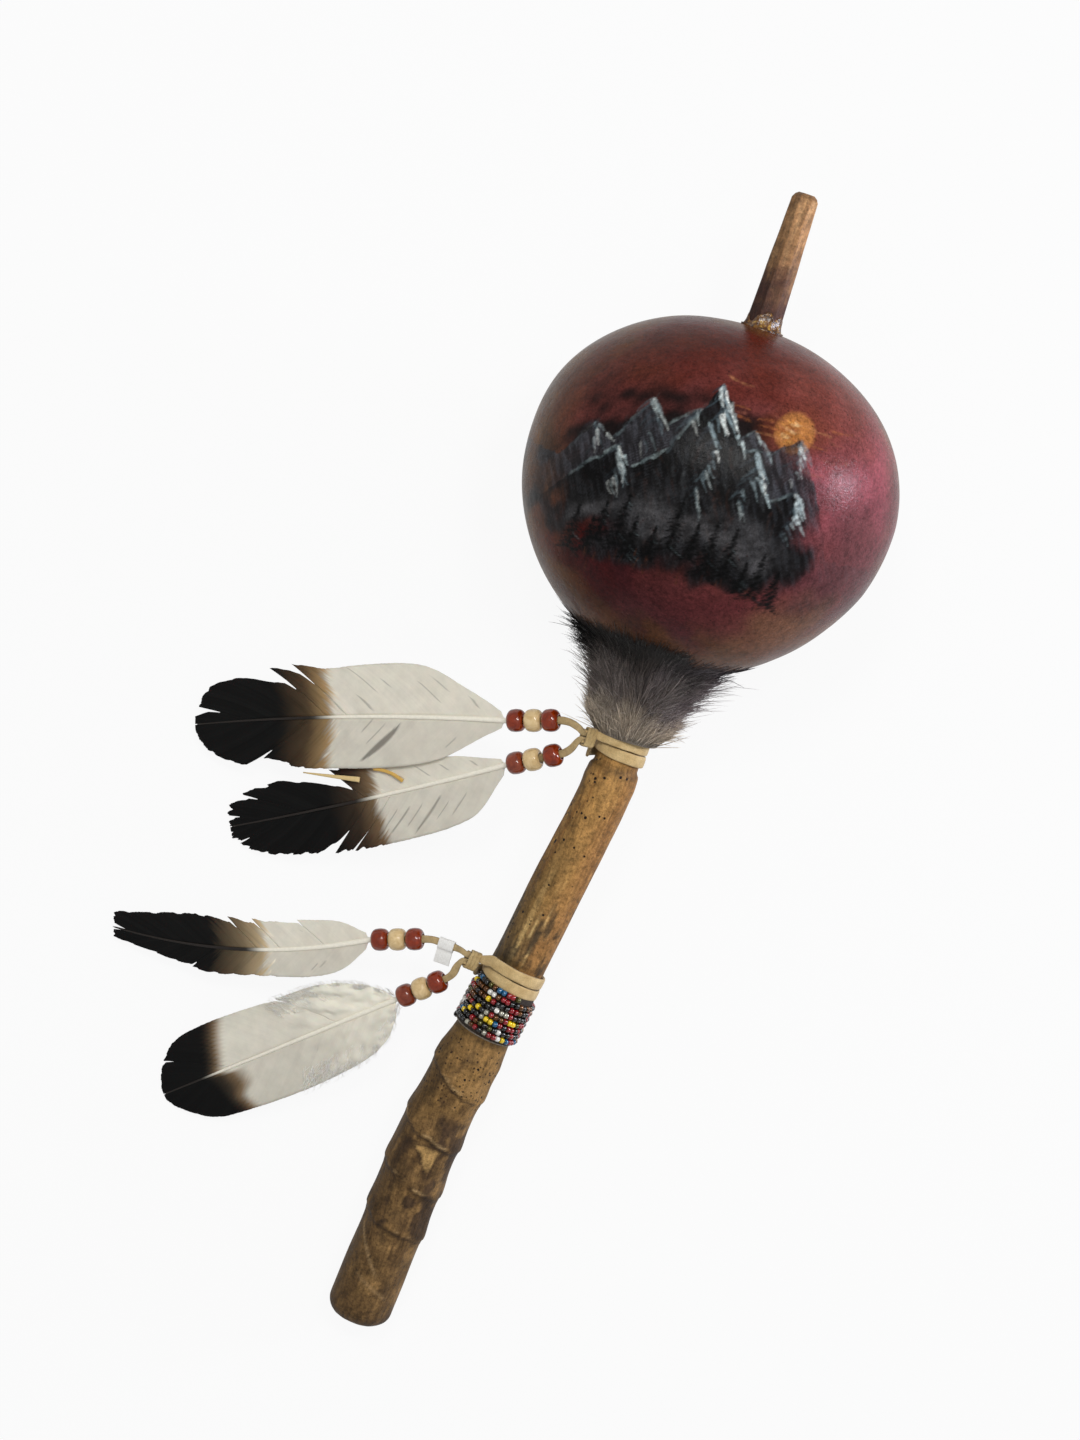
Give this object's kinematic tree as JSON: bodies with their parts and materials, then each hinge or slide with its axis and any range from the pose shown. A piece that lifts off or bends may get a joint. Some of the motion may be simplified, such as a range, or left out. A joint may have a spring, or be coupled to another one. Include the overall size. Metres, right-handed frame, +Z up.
{
  "type": "gourd rattle",
  "caption": "Hand rattle: a lacquered hollow gourd of pebbles on a through stick, with a fur cuff, wound thongs, a seed-bead band and swinging bead-and-feather pendants.",
  "frame": {"origin": "middle of the gourd's flat ground spot, where the rattle rests on a table", "axes": "+Z up from the table, +Y along the stick towards its tip, +X to the right seen from above"},
  "size_m": [0.265, 0.5122, 0.1547],
  "materials": {
    "gourd": "satin lacquer over dried gourd, painted",
    "stick": "peeled natural stick, stained, waxed",
    "glue": "gloss",
    "fur": "long soft hair",
    "leather": "undyed, matte",
    "seed_beads": "gloss, mixed colours",
    "brown_bead": "gloss",
    "cream_bead": "gloss",
    "feather": "white with a brown and black tip",
    "paper": "matte",
    "pebble": "natural"
  },
  "bodies": {
    "rattle": {"gourd_shell": "gourd", "handle_stick": "stick", "tip_glue": "glue", "neck_glue": "glue", "fur_cuff": "fur", "upper_thong": "leather", "upper_lashing": "leather", "lower_thong": "leather", "lower_lashing": "leather", "bead_band": "seed_beads"},
    "pendant_1": {"lace_1": "leather", "bead_1_inner": "brown_bead", "bead_1_middle": "cream_bead", "bead_1_outer": "brown_bead", "feather_1": "feather"},
    "pendant_2": {"lace_2": "leather", "bead_2_inner": "brown_bead", "bead_2_middle": "cream_bead", "bead_2_outer": "brown_bead", "feather_2": "feather"},
    "pendant_3": {"lace_3": "leather", "bead_3_inner": "brown_bead", "bead_3_middle": "cream_bead", "bead_3_outer": "brown_bead", "feather_3": "feather", "paper_tag": "paper"},
    "pendant_4": {"lace_4": "leather", "bead_4_inner": "brown_bead", "bead_4_middle": "cream_bead", "bead_4_outer": "brown_bead", "feather_4": "feather"},
    "pebbles_low": {"pebbles_low": "pebble"},
    "pebbles_mid": {"pebbles_mid": "pebble"},
    "pebbles_high": {"pebbles_high": "pebble"}
  },
  "joints": [
    {"name": "pendant_1_swing", "type": "hinge", "parent": "rattle", "child": "pendant_1", "pos_m": [-0.01784, -0.11518, 0.06828], "axis": [0, 0, 1], "range_deg": [-40, 8]},
    {"name": "pendant_2_swing", "type": "hinge", "parent": "rattle", "child": "pendant_2", "pos_m": [-0.01784, -0.11824, 0.06778], "axis": [0, 0, 1], "range_deg": [-8, 15]},
    {"name": "pendant_3_swing", "type": "hinge", "parent": "rattle", "child": "pendant_3", "pos_m": [-0.03507, -0.22023, 0.04665], "axis": [0, 0, 1], "range_deg": [-20, 4]},
    {"name": "pendant_4_swing", "type": "hinge", "parent": "rattle", "child": "pendant_4", "pos_m": [-0.03551, -0.22326, 0.04615], "axis": [0, 0, 1], "range_deg": [-5, 12]},
    {"name": "pebbles_low_roll", "type": "hinge", "parent": "rattle", "child": "pebbles_low", "pos_m": [0, 0.00081, 0.07687], "axis": [0, 0.9868, 0.1618], "continuous": true},
    {"name": "pebbles_mid_roll", "type": "hinge", "parent": "rattle", "child": "pebbles_mid", "pos_m": [0, 0.00081, 0.07687], "axis": [0, 0.9868, 0.1618], "continuous": true},
    {"name": "pebbles_high_roll", "type": "hinge", "parent": "rattle", "child": "pebbles_high", "pos_m": [0, 0.00081, 0.07687], "axis": [0, 0.9868, 0.1618], "continuous": true}
  ]
}
